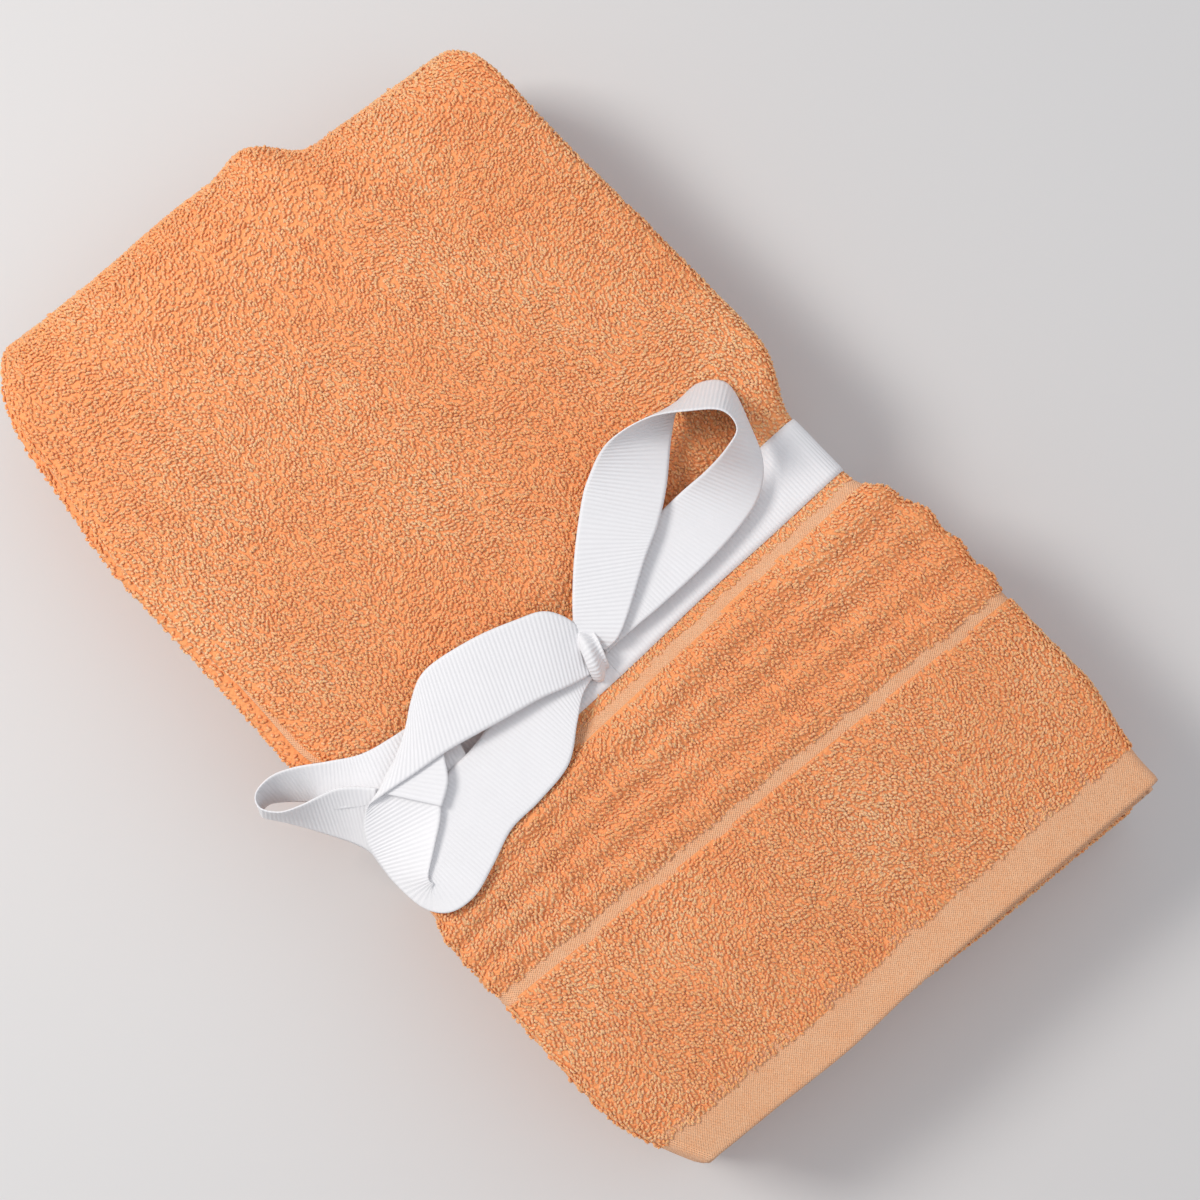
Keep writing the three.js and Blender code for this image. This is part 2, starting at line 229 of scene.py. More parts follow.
def new_object(name, verts, faces, slots=None, maps=(), tone=None):
    """A smooth-shaded mesh object from arrays: verts (n, 3) and faces (m, 3 or 4). maps are (name, uv of
    every face corner), and tone is a colour attribute on the vertices."""
    mesh = bpy.data.meshes.new(name)
    count, sides = faces.shape
    mesh.vertices.add(len(verts))
    mesh.vertices.foreach_set("co", np.asarray(verts, np.float32).ravel())
    mesh.loops.add(count * sides)
    mesh.loops.foreach_set("vertex_index", faces.ravel().astype(np.int32))
    mesh.polygons.add(count)
    mesh.polygons.foreach_set("loop_start", np.arange(0, count * sides, sides, dtype=np.int32))
    mesh.polygons.foreach_set("use_smooth", np.ones(count, bool))
    if slots is not None:
        mesh.polygons.foreach_set("material_index", slots.astype(np.int32))
    for map_name, uv in maps:
        mesh.uv_layers.new(name=map_name).data.foreach_set("uv", np.asarray(uv, np.float32).ravel())
    if tone is not None:
        colours = np.ones((len(verts), 4), np.float32)
        colours[:, :3] = tone
        mesh.attributes.new("tone", "FLOAT_COLOR", "POINT").data.foreach_set("color", colours.ravel())
    mesh.update(calc_edges=True)
    obj = bpy.data.objects.new(name, mesh)
    bpy.context.scene.collection.objects.link(obj)
    return obj


def grid_faces(rows, columns, start=0):
    """The quads of a rows by columns grid of vertices."""
    index = start + np.arange(rows * columns).reshape(rows, columns)
    return np.stack([index[:-1, :-1], index[:-1, 1:], index[1:, 1:], index[1:, :-1]], -1).reshape(-1, 4)


def cloth_mesh(name, mid, normal, front, back, uv, flat=None):
    """A closed cloth: its front is the middle surface moved out by front along the normal, its back the same
    surface moved in by back, and a rim of quads joins the two round all four edges. flat marks the points
    that are woven flat, whose faces take the second material. In the bake map the front fills the left half
    and the back the right."""
    rows, columns = mid.shape[:2]
    count = rows * columns
    verts = np.concatenate([(mid + normal * front[..., None]).reshape(-1, 3),
                            (mid - normal * back[..., None]).reshape(-1, 3)])
    index = np.arange(count).reshape(rows, columns)
    ring = np.concatenate([index[0, :-1], index[:-1, -1], index[-1, :0:-1], index[:0:-1, 0]])
    after = np.roll(ring, -1)
    faces = np.concatenate([grid_faces(rows, columns), grid_faces(rows, columns, count)[:, ::-1],
                            np.stack([after, ring, ring + count, after + count], -1)])
    a, b, c = (verts[faces[:, k]] for k in range(3))
    if np.einsum("ij,ij->", np.cross(b - a, c - a), a - verts.mean(0)) < 0:
        faces = faces[:, ::-1]
    both = np.concatenate([uv.reshape(-1, 2)] * 2)
    square = (uv - uv.min((0, 1))) / (uv.max((0, 1)) - uv.min((0, 1)))
    half = square.reshape(-1, 2) * (0.49, 0.98)
    margin = 0.005
    halves = np.concatenate([half, half + (0.5, 0)])
    slots = None
    if flat is not None:
        quads = flat[:-1, :-1].ravel()
        slots = np.concatenate([quads, quads, flat.ravel()[ring]])
    corners = faces.ravel()
    maps = [("cloth", both[corners]), ("OFBake", halves[corners] + margin)]
    return new_object(name, verts, faces, slots, maps)


def surface_normals(p):
    """Unit normals of a grid surface, from the cross product of its two running directions."""
    return unit(np.cross(np.gradient(p, axis=0), np.gradient(p, axis=1)))


# ---- flat outlines carried into folded cloth --------------------------------------------


def straight(p, q, step):
    """Points from p towards q, about a step apart, without q."""
    p, q = np.array(p, float), np.array(q, float)
    count = max(2, int(round(np.linalg.norm(q - p) / step)))
    return p + (q - p) * (np.arange(count) / count)[:, None]


def turn(centre, radius, start, end, count):
    """Points on an arc between two angles in degrees, without the last."""
    angle = np.radians(start + (end - start) * np.arange(count) / count)
    return np.array(centre) + radius * np.stack([np.cos(angle), np.sin(angle)], -1)


def run_length(line):
    """Distance along a line of points."""
    return np.concatenate([[0], np.cumsum(np.linalg.norm(np.diff(line, axis=0), axis=1))])


def folded(cross, path, stack):
    """Cloth folded across its width and then along its length. cross gives (y, height in the stack) across
    the cloth, and path gives (x, z) of the stack's middle along it. A point stands off the path by its height
    in the stack less half the stack, along the tangent turned back by a quarter turn."""
    tangent = unit(np.gradient(path, axis=0))
    offset = (cross[:, 1] - stack / 2)[:, None]
    x = path[None, :, 0] + tangent[None, :, 1] * offset
    z = path[None, :, 1] - tangent[None, :, 0] * offset
    return np.stack([x, np.broadcast_to(cross[:, :1], x.shape), z], -1)


def skew_at(x):
    """How far the cloth has drifted out of square at x: nought at the tie, more towards both ends."""
    left = SKEW * (BAND_X - x) / (BAND_X + REACH)
    return np.where(x < BAND_X, left, SKEW * ease(x, STRIPE_1, STRIPE_2))


def tied(x):
    """One under the ribbon, falling smoothly to nought beside it."""
    return 1 - ease(np.abs(x - BAND_X), BAND_HALF - 1 * MM, BAND_HALF + 13 * MM)


def settled(p):
    """How the bundle sags and is drawn in. Heights are pressed down under the ribbon and swell beside it; the
    sides pull in there, most at the top and bottom edges; the top rolls off towards its edges; low bumps run
    over everything in proportion to height; x drifts with y out of square; and plan() rounds the outline."""
    pressed, swelled, side_pull, corner_pull, spread = 0.055, 0.018, 0.04, 0.03, 0.025
    raised, wavered, shift = 0.9 * MM, 0.9 * MM, 1.7 * MM
    broad_lump, small_lump, edge_roll, hem_roll = 1.0 * MM, 0.5 * MM, 2.0 * MM, 2.5 * MM
    x, y, z = p[..., 0], p[..., 1], p[..., 2]
    nought = np.zeros_like(x)
    share = z / TOP
    pinch = tied(x)
    from_band = np.abs(x - BAND_X)
    drawn = 1 - ease(from_band, BAND_HALF, BAND_HALF + 28 * MM)
    beside = bump(from_band, BAND_HALF + 15 * MM, 9 * MM)
    out = np.abs(y) / HALF
    flat = np.stack([x, y, nought], -1)
    lumps = broad_lump * soft_noise(flat, 62 * MM, 3) + small_lump * soft_noise(flat, 24 * MM, 4)
    rolloff = edge_roll * out**5 + hem_roll * ease(x, HEM_X - 45 * MM, HEM_X + 6 * MM)
    height = z * (1 - pressed * pinch + swelled * beside) + share * (lumps * (1 - pinch) - rolloff)
    height = height + raised * pinch * (1 - share)
    corner = np.abs(2 * share - 1) ** 3
    waver = soft_noise(np.stack([x, nought, 1.2 * z], -1), 38 * MM, 5)
    side = y * (1 - drawn * (side_pull + corner_pull * corner)) + wavered * waver * out
    across = x + side * skew_at(x)
    across, side = plan(across, side + (1 - drawn) * (shift + spread * y), z)
    return np.stack([across, side, height], -1)


def past(x, station, run):
    """How many runs x lies past a station, from nought to a little over one."""
    return np.clip((x - station) / run, 0, 1.2)


def plan(x, y, z):
    """The outline seen from above. The end fold is pushed out, less beside the long fold, where it steps
    back; the hem end is pulled in, the levels beneath it less; and each corner is drawn towards the middle by
    a power of how far it lies past a station, most at the two corners on the selvedge's side."""
    west = -x
    pushed, ear, stepped, tapered = 14 * MM, 3.5 * MM, 10 * MM, 4 * MM
    push = pushed + ear * bump(y, 23 * MM, 8 * MM) - stepped * ease(y, 24 * MM, 41 * MM)
    push = push - tapered * ease(-y, 10 * MM, 75 * MM)
    end = ease(west, 0.62 * REACH, REACH)
    upper = ease(z, TOP - 1.6 * LEVEL, TOP - 0.9 * LEVEL)
    hem_pull, askew, beneath = 7 * MM, 0.25, 0.45
    hem = hem_pull * ease(x, STRIPE_2, HEM_X) * (1 + askew * y / HALF) * (beneath + (1 - beneath) * upper)
    uneven = 1.2 * MM * soft_noise(np.stack([0 * x, y, 0.5 * z], -1), 33 * MM, 6)
    uneven = uneven * ease(np.abs(x), 0.55 * REACH, REACH)
    far = 5 * MM * ease(west, 95 * MM, 140 * MM) + 12 * MM * past(west, 135 * MM, 32 * MM) ** 1.6
    near = 17 * MM * past(x, 122 * MM, 43 * MM) ** 1.7
    fold = 6 * MM * ease(x, 128 * MM, 165 * MM) + 2 * MM * ease(west, 140 * MM, 165 * MM)
    selvedge_side = np.clip(-y / HALF, 0, None) ** 2
    fold_side = np.clip(y / HALF, 0, None) ** 2
    return x - push * end - hem + uneven, y + selvedge_side * (far + near) - fold_side * fold


# ---- the bath towel ---------------------------------------------------------------------


class FoldedTowel:
    """A towel's folded grid: rows run across the cloth and columns along it. thin is how thick its ground is
    on the side that shows."""

    def __init__(self, towel, cross, path, stack):
        self.towel = towel
        self.u, self.v = run_length(cross), run_length(path)
        self.uu, self.vv = np.meshgrid(self.u, self.v, indexing="ij")
        grid = folded(cross, path, stack)
        grid[..., 1] += self.drawn_in(self.uu, grid[..., 0])
        self.mid = settled(grid)
        self.normal = surface_normals(self.mid)
        self.flat, self.front = self.relief(self.uu, self.vv)

    def drawn_in(self, u, x):
        """How far the cloth at x is drawn in across the bundle: not at all, where it is folded square."""
        return 0 * u

    def relief(self, u, v):
        """Where the cloth is woven flat, at its hems and selvedges, and how far its face stands out from its
        middle."""
        towel = self.towel
        edge = np.minimum(u, self.u[-1] - u) < towel.selvedge
        hem = np.minimum(v, self.v[-1] - v) < towel.hem
        return edge | hem, np.full(np.shape(u), self.thin / 2)

    def part(self, name, first, last):
        """The cloth between two columns, as a closed mesh, thinner along its cut and selvedge edges."""
        cut = np.s_[:, first:last + 1]
        front = self.front[cut].copy()
        back = np.full(front.shape, self.towel.cloth / 2)
        selvedge_share, hem_share = 0.6, 0.7
        for face in (front, back):
            face[[0, -1]] *= selvedge_share
            if first == 0:
                face[:, 0] *= hem_share
            if last == len(self.v) - 1:
                face[:, -1] *= hem_share
        uv = np.stack([self.uu[cut], self.vv[cut]], -1)
        return cloth_mesh(name, self.mid[cut], self.normal[cut], front, back, uv, self.flat[cut])

    def column(self, v):
        """The column of the grid nearest to a distance along the cloth."""
        return int(np.argmin(np.abs(self.v - v)))


class BathTowel(FoldedTowel):
    """The bath towel, folded in four each way. Across: the top layer from its selvedge, round the long fold,
    the lowest layer, and back through the two between. Along: the top level from its hem, round the end fold,
    the lowest level, the second, and by an inner turn the third. stops are the distances along it at which
    each stretch ends, and rounds those across it."""

    def __init__(self, towel):
        t = towel.layer
        fold = HALF - 1.5 * t - towel.cloth / 2 - 0.6 * MM
        lip = -HALF + 2.2 * MM
        curl = 1.1 * t
        under = -HALF + 0.5 * t + towel.cloth / 2 + 0.4 * MM
        inner_lip = lip + 3.0 * MM
        fine, plain, coarse = 0.7 * MM, 3.4 * MM, 10 * MM
        pieces = [
            straight((lip, 1.9 * t), (lip, 3.5 * t - curl), fine),
            turn((lip + curl, 3.5 * t - curl), curl, 180, 90, 8),
            straight((lip + curl, 3.5 * t), (fold, 3.5 * t), plain),
            turn((fold, 2 * t), 1.5 * t, 90, -90, 14),
            straight((fold, 0.5 * t), (under, 0.5 * t), coarse),
            turn((under, t), 0.5 * t, -90, -270, 8),
            straight((under, 1.5 * t), (fold, 1.5 * t), coarse),
            turn((fold, 2 * t), 0.5 * t, -90, 90, 6),
            straight((fold, 2.5 * t), (inner_lip + towel.selvedge, 2.5 * t), coarse),
            straight((inner_lip + towel.selvedge, 2.5 * t), (inner_lip, 2.5 * t), fine),
            np.array([(inner_lip, 2.5 * t)]),
        ]
        self.rounds = self.ends_of(pieces)
        z1, z2, z3, z4 = LEVEL / 2, 1.5 * LEVEL, MIDDLE_Z, TOP - LEVEL / 2
        far = REACH - 2 * t - 0.5 * (z2 - z1)
        hem_end = HEM_X + towel.hem / 2
        third_end = hem_end - 2 * MM
        ribs_near, ribs_far = STRIPE_1 - 4 * MM, HINGE_X + 2 * MM
        stretch = [
            straight((hem_end, z4), (hem_end - towel.hem, z4), 1.3 * MM),
            straight((hem_end - towel.hem, z4), (ribs_far, z4), plain),
            straight((ribs_far, z4), (ribs_near, z4), 0.95 * MM),
            straight((ribs_near, z4), (END_CENTRE, z4), plain),
            turn((END_CENTRE, (z4 + z1) / 2), (z4 - z1) / 2, 90, 270, 30),
            straight((END_CENTRE, z1), (far, z1), coarse),
            turn((far, (z1 + z2) / 2), (z2 - z1) / 2, -90, 90, 14),
            straight((far, z2), (END_CENTRE, z2), coarse),
            turn((END_CENTRE, (z2 + z3) / 2), (z3 - z2) / 2, 270, 90, 14),
            straight((END_CENTRE, z3), (HINGE_X - 14 * MM, z3), coarse),
            straight((HINGE_X - 14 * MM, z3), (third_end, z3), 2.2 * MM),
            np.array([(third_end, z3)]),
        ]
        self.stops = self.ends_of(stretch)
        self.total = self.stops[-1]
        self.thin, self.hem_end = towel.cloth, hem_end
        super().__init__(towel, np.concatenate(pieces), np.concatenate(stretch), 4 * t)

    def drawn_in(self, u, x):
        """The top layer's selvedge lies back from the folds beneath it, more towards the tie."""
        back = 2.0 * MM + 4.5 * MM * ease(x, -75 * MM, -10 * MM)
        before_band = 1 - ease(x, BAND_X - 5 * MM, BAND_X + 15 * MM)
        return back * before_band * (1 - ease(u, 8 * MM, 50 * MM))

    @staticmethod
    def ends_of(pieces):
        """The distance along joined lines at which each one ends."""
        ends = np.cumsum([len(piece) for piece in pieces])
        line = run_length(np.concatenate(pieces))
        return line[np.minimum(ends, len(line) - 1)]

    def relief(self, u, v):
        """Flat at the hems, selvedges and two stripes whose edges waver; between the stripes the front face
        stands out in ribs, each one period of a raised cosine, which fade out on the hidden layers."""
        towel = self.towel
        x = self.hem_end - np.minimum(v, self.total - v)
        x = x + 0.7 * MM * soft_noise(np.stack([u, 0 * u, x * 0.2], -1), 8 * MM, 21)
        half = towel.stripe / 2
        stripe = (np.abs(x - STRIPE_1) < half) | (np.abs(x - STRIPE_2) < half)
        low, high = STRIPE_1 + half, STRIPE_2 - half
        phase = np.clip((x - low) / (high - low), 0, 1)
        wave = 0.5 - 0.5 * np.cos(TAU * towel.ribs * phase)
        shown = 1 - ease(u, self.rounds[3] + 4 * MM, self.rounds[3] + 9 * MM)
        swell = 1 + 0.25 * soft_noise(np.stack([u, x, 0 * u], -1), 14 * MM, 22)
        front = self.thin / 2 + shown * wave * swell * towel.rib_height
        edge = np.minimum(u, self.rounds[-1] - u) < towel.selvedge
        return (x > self.hem_end - towel.hem) | edge | stripe, front


def bilinear(grid, i, j):
    """Values between the points of a grid at fractional rows i and columns j."""
    low_i = np.clip(i.astype(int), 0, grid.shape[0] - 2)
    low_j = np.clip(j.astype(int), 0, grid.shape[1] - 2)
    s, t = i - low_i, j - low_j
    if grid.ndim == 3:
        s, t = s[:, None], t[:, None]
    near = (1 - t) * grid[low_i, low_j] + t * grid[low_i, low_j + 1]
    after = (1 - t) * grid[low_i + 1, low_j] + t * grid[low_i + 1, low_j + 1]
    return (1 - s) * near + s * after


# ---- terry loops ------------------------------------------------------------------------

# A loop is a bent grain: a point, two rings of four corners, and a point. Its crest says how far up each is;
# the loop material paints the low corners darker, as painted shade at the roots.
LOOP_CREST = np.array([0.0, 0.7, 1.0, 0.7, 0.3, 0.7, 1.0, 0.7, 0.3, 0.1])
# Each ring's place along the loop, its height in shares of the lift, and its share of the width.
LOOP_RINGS = ((-0.24, 0.62, 1.0), (0.2, 0.8, 0.95))
STRAY_SHARE = 0.012
FIRST_SEED, INNER_SEED = 100, 200
LOOP_FACES = np.array(
    [(0, 1 + (k + 1) % 4, 1 + k) for k in range(4)]
    + [(1 + k, 1 + (k + 1) % 4, 5 + (k + 1) % 4) for k in range(4)]
    + [(1 + k, 5 + (k + 1) % 4, 5 + k) for k in range(4)]
    + [(5 + k, 5 + (k + 1) % 4, 9) for k in range(4)]
)


def loop_map():
    """Each corner's place in a loop's own square of the bake map: the loop's four sides in four strips."""
    rows = (0.04, 0.36, 0.64, 0.96)
    spots = []
    for face in LOOP_FACES:
        strips = {(v - 1) % 4 for v in face if 0 < v < 9}
        wraps = strips == {0, 3}
        for v in face:
            if v in (0, 9):
                spots.append((3.5 if wraps else min(strips) + 0.5, rows[0 if v == 0 else 3]))
            else:
                spots.append((4 if wraps and (v - 1) % 4 == 0 else (v - 1) % 4, rows[1 + (v - 1) // 4]))
    return np.array(spots) * (0.23, 1) + (0.04, 0)


def terry(name, place, normal, lean, size, rng):
    """Terry loops as one mesh; size holds each one's length, lift and width. Along its lean a loop rises from
    a point in the ground, over two rings of four corners that are wider than they are high, and goes down to
    a point, curving a little to one side. Its tone holds its own random shade and how far up each corner is,
    which the loop material turns into painted shade towards the roots."""
    count = len(place)
    long, lift, width = (value[:, None] for value in size)
    side = unit(np.cross(normal, lean))
    half_wide, half_high, start_deep, end_deep, curling = 0.5, 0.42, 0.5, 0.3, 0.16
    curl = rng.normal(0, curling, (count, 1)) * long

    def ring(along, height, share):
        centre = place + lean * long * along + normal * lift * height + side * curl
        out, up = side * width * half_wide * share, normal * width * half_high * share
        return [centre + out, centre + up, centre - out, centre - up]

    start = place - lean * long * 0.5 - normal * lift * start_deep
    end = place + lean * long * 0.5 - normal * lift * end_deep
    first, second = (ring(*values) for values in LOOP_RINGS)
    verts = np.stack([start, *first, *second, end], 1).reshape(-1, 3)
    faces = (LOOP_FACES[None] + 10 * np.arange(count)[:, None, None]).reshape(-1, 3)
    cells = math.ceil(math.sqrt(count))
    cell = np.stack([np.arange(count) % cells, np.arange(count) // cells], -1)
    uv = ((loop_map()[None] + cell[:, None]) / cells).reshape(-1, 2)
    tone = np.zeros((count, len(LOOP_CREST), 3))
    tone[..., 0], tone[..., 1] = rng.random((count, 1)), LOOP_CREST
    return new_object(name, verts, faces, None, [("OFBake", uv)], tone.reshape(-1, 3))


def scattered(cloth, u_range, v_range, gap, stretch, rng):
    """One random place in each cell of an even grid laid on a stretch of the cloth, less the flat ones."""
    rows = max(1, int((u_range[1] - u_range[0]) / gap))
    columns = max(1, int((v_range[1] - v_range[0]) * stretch / gap))
    a, b = (grid.ravel() for grid in np.meshgrid(np.arange(rows), np.arange(columns), indexing="ij"))
    u = u_range[0] + (a + rng.random(a.size)) * (u_range[1] - u_range[0]) / rows
    v = v_range[0] + (b + rng.random(b.size)) * (v_range[1] - v_range[0]) / columns
    flat, _ = cloth.relief(u, v)
    return u[~flat], v[~flat]


def terry_over(cloth, name, u_range, v_range, seed, coarse=1.0, stretch=1.0):
    """Loops over a stretch of a towel's front face. They lean along the cloth's length, turned by slow and
    quick noise, stand in soft clumps, and lie lower where the ribbon presses them. A few are stray and stand
    longer and higher. coarse spreads them further apart and widens them; stretch packs them closer where an
    outer fold is longer than the cloth's middle line."""
    slow_turn, quick_turn, own_turn, tilt = 1.2, 0.8, 0.45, 0.12
    uneven, clumped, squashed, stray_long, stray_high = 0.16, 0.35, 0.65, 1.5, 1.8
    towel = cloth.towel
    rng = np.random.default_rng(seed)
    u, v = scattered(cloth, u_range, v_range, towel.loop_gap * coarse, stretch, rng)
    count = len(u)
    i = np.interp(u, cloth.u, np.arange(len(cloth.u)))
    j = np.interp(v, cloth.v, np.arange(len(cloth.v)))
    normal = unit(bilinear(cloth.normal, i, j))
    place = bilinear(cloth.mid, i, j) + normal * bilinear(cloth.front, i, j)[:, None]
    ahead = bilinear(cloth.mid, i, np.minimum(j + 0.5, len(cloth.v) - 1.001))
    along = unit(ahead - bilinear(cloth.mid, i, np.maximum(j - 0.5, 0)))
    across = np.cross(normal, along)
    turned = slow_turn * soft_noise(place, 30 * MM, 11) + quick_turn * soft_noise(place, 9 * MM, 12)
    turned = turned + rng.normal(0, own_turn, count)
    lean = along * np.cos(turned)[:, None] + across * np.sin(turned)[:, None]
    lean = unit(lean + normal * rng.normal(0, tilt, (count, 1)))
    stray = rng.random(count) < STRAY_SHARE
    pressed = tied(place[:, 0]) * (place[:, 2] > 0.3 * TOP)
    long = towel.loop_length * rng.lognormal(0, uneven, count) * np.where(stray, stray_long, 1) * coarse**0.5
    lift = towel.loop_height * (1 + clumped * soft_noise(place, 5 * MM, 13)) * rng.uniform(0.7, 1.3, count)
    lift = lift * (1 - squashed * pressed) * np.where(stray, stray_high, 1)
    width = towel.loop_width * rng.uniform(0.85, 1.15, count) * coarse**0.7
    return terry(name, place, normal, lean, (long, lift, width), rng)


# ---- ribbon -----------------------------------------------------------------------------


def smooth_line(points, samples=24):
    """A Catmull-Rom curve through points: each span is the usual cubic blend of its four neighbours."""
    p = np.asarray(points, float)
    p = np.concatenate([[2 * p[0] - p[1]], p, [2 * p[-1] - p[-2]]])
    t = (np.arange(samples) / samples)[:, None, None]
    a, b, c, d = p[:-3], p[1:-2], p[2:-1], p[3:]
    curve = 0.5 * (2 * b + (c - a) * t + (2 * a - 5 * b + 4 * c - d) * t**2 + (3 * b - a - 3 * c + d) * t**3)
    return np.concatenate([curve.transpose(1, 0, 2).reshape(-1, p.shape[1]), p[-2:-1]])


def evenly(line_a, line_b, step):
    """Two matching lines resampled together, so that their middle line has a point at every step."""
    along = run_length((line_a + line_b) / 2)
    places = np.linspace(0, along[-1], max(2, int(round(along[-1] / step))) + 1)

    def taken(line):
        return np.stack([np.interp(places, along, line[:, k]) for k in range(3)], -1)

    return taken(line_a), taken(line_b), places


def ribbon_surface(name, edge_a, edge_b, pleats=2, columns=17, gather=0.62):
    """A grosgrain ribbon between two edge lines: p(s, w) = (1 - w) A(s) + w B(s), with its columns crowded
    towards the edges. Where the lines come closer than gather times the ribbon's width it lies in pleats, a
    sine across the width that grows with the spare cloth. Both faces carry the ribs, a raised cosine of s,
    which are faint at the plain edges."""
    ribbon = settings().ribbon
    crowding, deepest, faint, shift, end_share = 0.3, 1.6 * MM, 0.15, 0.6, 0.5
    line_a, line_b, s = evenly(smooth_line(edge_a), smooth_line(edge_b), ribbon.rib_pitch / 5)
    w = np.linspace(0, 1, columns)
    w = w - crowding * np.sin(TAU * w) / TAU
    flat = line_a[:, None] * (1 - w)[None, :, None] + line_b[:, None] * w[None, :, None]
    gap = np.linalg.norm(line_b - line_a, axis=1)
    spare = np.clip(gather * ribbon.width / np.maximum(gap, 1 * MM) - 1, 0, 4)
    height = np.minimum(np.minimum(spare, np.sqrt(spare)) * gap / (math.pi * pleats), deepest)
    normal = surface_normals(flat)
    wave = np.sin(TAU * pleats * w + shift)[None, :] * height[:, None]
    mid = flat + normal * wave[..., None]
    normal = surface_normals(mid)
    inside = np.clip(np.minimum(w, 1 - w) * ribbon.width / ribbon.edge, 0, 1)
    rib = (0.5 + 0.5 * np.cos(TAU * s / ribbon.rib_pitch))[:, None]
    relief = ribbon.thickness / 2 + ribbon.rib_height * (rib * (faint + (1 - faint) * inside**2)[None, :])
    relief[[0, -1]] *= end_share
    uv = np.stack(np.meshgrid(s, w * ribbon.width, indexing="ij"), -1)
    obj = cloth_mesh(name, mid, normal, relief, relief, uv)
    obj.data.materials.append(grosgrain())
    return obj, float(s[-1])


def at(points):
    """Bow points (x from the band's middle, y, height over the band's top) in millimetres."""
    return [(BAND_X + x * MM, y * MM, BAND_TOP + h * MM) for x, y, h in points]


def declare_ribbon(obj, long, body, *nodes, folds=1):
    """A length of ribbon rides on its body and stands for its solids. folds is not used."""
    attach(obj, body)
    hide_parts(*nodes)


def band_line():
    """The band's outline (y, z), from the knot round the bundle and back: four straights and four arcs."""
    half, top, foot, r = HALF + 0.3 * MM, TOP + 0.5 * MM, -0.55 * MM, 5.2 * MM
    step = 2 * MM
    return np.concatenate([
        straight((KNOT_Y, top), (half - r, top), step),
        turn((half - r, top - r), r, 90, 0, 8),
        straight((half, top - r), (half, foot + r), step),
        turn((half - r, foot + r), r, 0, -90, 8),
        straight((half - r, foot), (r - half, foot), step),
        turn((r - half, foot + r), r, -90, -180, 8),
        straight((-half, foot + r), (-half, top - r), step),
        turn((r - half, top - r), r, 180, 90, 8),
        straight((r - half, top), (KNOT_Y, top), step),
        np.array([(KNOT_Y, top)]),
    ])


def make_band():
    """The band: its outline drawn in by the same settling as the towel, carried across the ribbon's width."""
    line = band_line()
    ring = settled(np.column_stack([np.full(len(line), BAND_X), line]))
    sway = 0.5 * MM * soft_noise(ring, 30 * MM, 31)
    edges = [ring + np.column_stack([sway + side, 0 * sway, 0 * sway]) for side in (BAND_HALF, -BAND_HALF)]
    obj, long = ribbon_surface("ribbon_round_bundle", *edges, columns=9)
    declare_ribbon(obj, long, "ribbon", *(node for node in frame["nodes"] if node.startswith("ribbon_band")))


# Points of the bow: x from the band's middle, y from the bundle's middle, height over the band.
KNOT_LEFT = [(-8, -2, -4.5), (-8.5, -1.5, -1.5), (-6, -1.5, 2), (-1, -2.4, 4.4), (4, -4, 3.6),
             (7.6, -5.2, 0), (8, -5.2, -4.5)]
KNOT_RIGHT = [(-6.5, -8, -4.5), (-7, -7.6, -1.5), (-5, -7.6, 1.8), (-1, -8.8, 4.2), (3.6, -10.4, 3.2),
              (6.8, -11.4, -0.4), (7.2, -11.4, -4.5)]
FAR_UPPER = [(-2.5, -6.5, 0.5), (-8, -5.5, 3), (-20.5, 6, 6), (-32, 19.5, 9), (-37, 27.5, 12),
             (-40, 38, 17), (-37, 51, 20.5), (-30, 61.5, 21.5), (-23.5, 68.5, 21.5), (-17, 68.5, 19.5),
             (-15, 62.5, 16.5), (-15, 54.5, 10.5), (-16, 45.5, 5), (-16, 33, 2), (-15, 19, 1.2),
             (-10.5, 5, 0.8), (-3, -4.5, -0.5)]
FAR_LOWER = [(3, -2.5, 0.5), (2, 5, 3), (-8.5, 24, 5), (-13.5, 34, 5.6), (-20, 43.5, 7), (-30.5, 55.5, 6.5),
             (-36.5, 64.5, 1.6), (-37.5, 73.5, 0.8), (-31, 80, 0.8), (-16, 75.5, 0.8), (-6.5, 71, 0.8),
             (0, 63.5, 0.8), (3, 53.5, 0.8), (4.5, 37, 0.8), (4.5, 19.5, 0.8), (4, 9, 0.6), (3.5, -3, -1.5)]
NEAR_LEFT = [(-3, -6, 0.5), (-9.5, -4.5, 4), (-17, -8.5, 7), (-21, -17, 8.5), (-25.5, -30.5, 9.5),
             (-28, -46, 9), (-24.5, -55, 7.2), (-20, -59.5, 5.4), (-11.5, -63.5, 4.7), (-2, -67, 4.5),
             (5, -70.5, 4.3), (11.5, -79, 4.1), (16.5, -86, 3.4), (19, -86.5, 2.6), (15.5, -85.5, 2.1),
             (10, -81.5, 1.8), (3, -73, 1.8), (-1.5, -64, 1.8), (-2.5, -51.5, 1.8), (-4.5, -38.5, 2),
             (-4.5, -22.5, 1.8), (-1.5, -12, 1), (0.5, -7, -1.6)]
NEAR_RIGHT = [(5, -10, 0.3), (5, -13, 1.6), (3.5, -19.5, 4), (1, -27, 5.4), (-2, -40, 6.4),
              (-6, -56.5, 6.6), (-8, -69.5, 6), (-10, -81, 4.6), (-10.5, -86, 2), (-7.5, -90.5, -1),
              (-2.5, -93.5, -3.5), (3, -94.5, -5), (11, -95, -5), (22, -93.5, -2), (28.5, -88.5, 1),
              (30, -80, 2), (27, -70, 1.8), (23, -59, 1.6), (22.5, -47.5, 1.4), (20.5, -34, 1.6),
              (13, -23.5, 1.4), (8, -16.5, 0.4), (5.5, -8.5, -2)]
